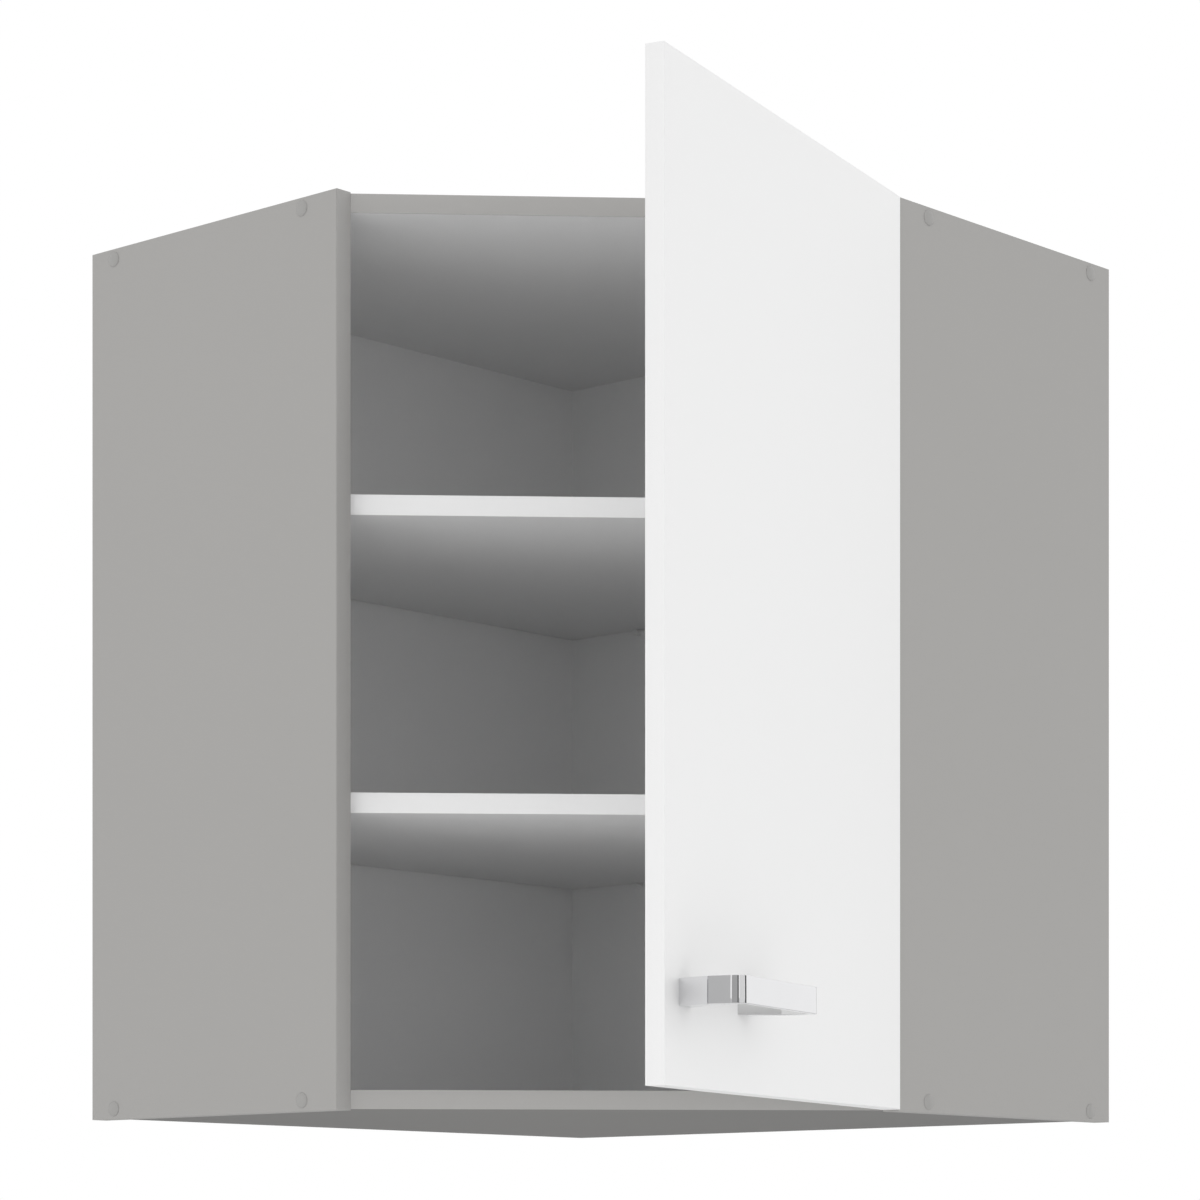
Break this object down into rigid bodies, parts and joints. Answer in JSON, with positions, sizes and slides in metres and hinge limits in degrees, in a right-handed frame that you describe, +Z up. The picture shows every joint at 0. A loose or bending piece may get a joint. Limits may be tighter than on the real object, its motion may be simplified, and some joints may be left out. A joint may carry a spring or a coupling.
{
  "type": "corner wall cabinet",
  "caption": "Diagonal corner wall cabinet with shelves behind one hinged front on concealed linkage hinges, bow handle, hung on two wall plates.",
  "frame": {"origin": "corner of the room where the two wall faces meet, level with the underside of the side panels", "axes": "+Z up; the left-hand wall is the plane x = 0, the right-hand wall is the plane y = 0, and the diagonal front looks towards +X and -Y"},
  "size_m": [0.7573, 0.7025, 0.716],
  "materials": {
    "grey_board": "melamine-faced chipboard, plain grey outside and white inside",
    "white_board": "white melamine-faced chipboard",
    "grey_band": "plain grey edge band",
    "white_hardboard": "hardboard, painted white on its inner face",
    "white_shelf_band": "white edge band",
    "white_front": "white melamine-faced chipboard",
    "white_front_band": "white edge band",
    "chrome": "polished chrome plating",
    "beech": "fluted beech",
    "grey_cap": "grey moulded plastic",
    "hanger_plastic": "white moulded plastic",
    "buffer": "clear soft plastic",
    "zinc_steel": "zinc plated",
    "nickel_steel": "nickel plated"
  },
  "bodies": {
    "cabinet": {"back_board_dowels": "beech", "back_board_right": "white_board", "back_sheet_left": "white_hardboard", "back_sheet_nails": "zinc_steel", "bottom_panel": "grey_board", "carcass_dowels_left": "beech", "carcass_dowels_right": "beech", "carcass_screws_left": "zinc_steel", "carcass_screws_right": "zinc_steel", "hanger_hook_left": "zinc_steel", "hanger_hook_right": "zinc_steel", "hanger_left": "hanger_plastic", "hanger_right": "hanger_plastic", "hanger_screws_left": "zinc_steel", "hanger_screws_right": "zinc_steel", "hinge_arm_screws": "nickel_steel", "inner_arm_pins": "nickel_steel", "lower_hinge_arm": "nickel_steel", "lower_mounting_plate": "nickel_steel", "mounting_plate_screws": "zinc_steel", "outer_arm_pins": "nickel_steel", "screw_caps_left": "grey_cap", "screw_caps_right": "grey_cap", "shelf_edge_bands": "white_shelf_band", "shelf_lower": "white_board", "shelf_pins": "zinc_steel", "shelf_upper": "white_board", "side_panel_edge_bands": "grey_band", "side_panel_left": "grey_board", "side_panel_right": "grey_board", "top_bottom_edge_bands": "grey_band", "top_panel": "grey_board", "upper_hinge_arm": "nickel_steel", "upper_mounting_plate": "nickel_steel", "wall_plate_left": "zinc_steel", "wall_plate_right": "zinc_steel"},
    "outer_links": {"outer_hinge_links": "nickel_steel"},
    "door": {"door_buffers": "buffer", "door_edge_bands": "white_front_band", "door_handle": "chrome", "door_panel": "white_front", "handle_screws": "zinc_steel", "hinge_cup_screws": "zinc_steel", "inner_cup_pins": "nickel_steel", "lower_hinge_cup": "nickel_steel", "outer_cup_pins": "nickel_steel", "upper_hinge_cup": "nickel_steel"},
    "inner_links": {"inner_hinge_links": "nickel_steel"}
  },
  "joints": [
    {"name": "outer_link_pivot", "type": "hinge", "parent": "cabinet", "child": "outer_links", "pos_m": [0.57213, -0.32011, 0.358], "axis": [0, 0, 1], "range_deg": [-11.6, 19.8]},
    {"name": "door_opening", "type": "hinge", "parent": "outer_links", "child": "door", "pos_m": [0.59302, -0.30469, 0.358], "axis": [0, 0, 1], "range_deg": [-79.66, 46.47]},
    {"name": "inner_link_pivot", "type": "hinge", "parent": "door", "child": "inner_links", "pos_m": [0.59421, -0.30238, 0.358], "axis": [0, 0, 1], "range_deg": [-51.9, 88.8]}
  ],
  "couplings": [
    {"joint": "outer_link_pivot", "follows": "door_opening", "ratio": -0.24684},
    {"joint": "inner_link_pivot", "follows": "door_opening", "ratio": -1.1139}
  ]
}
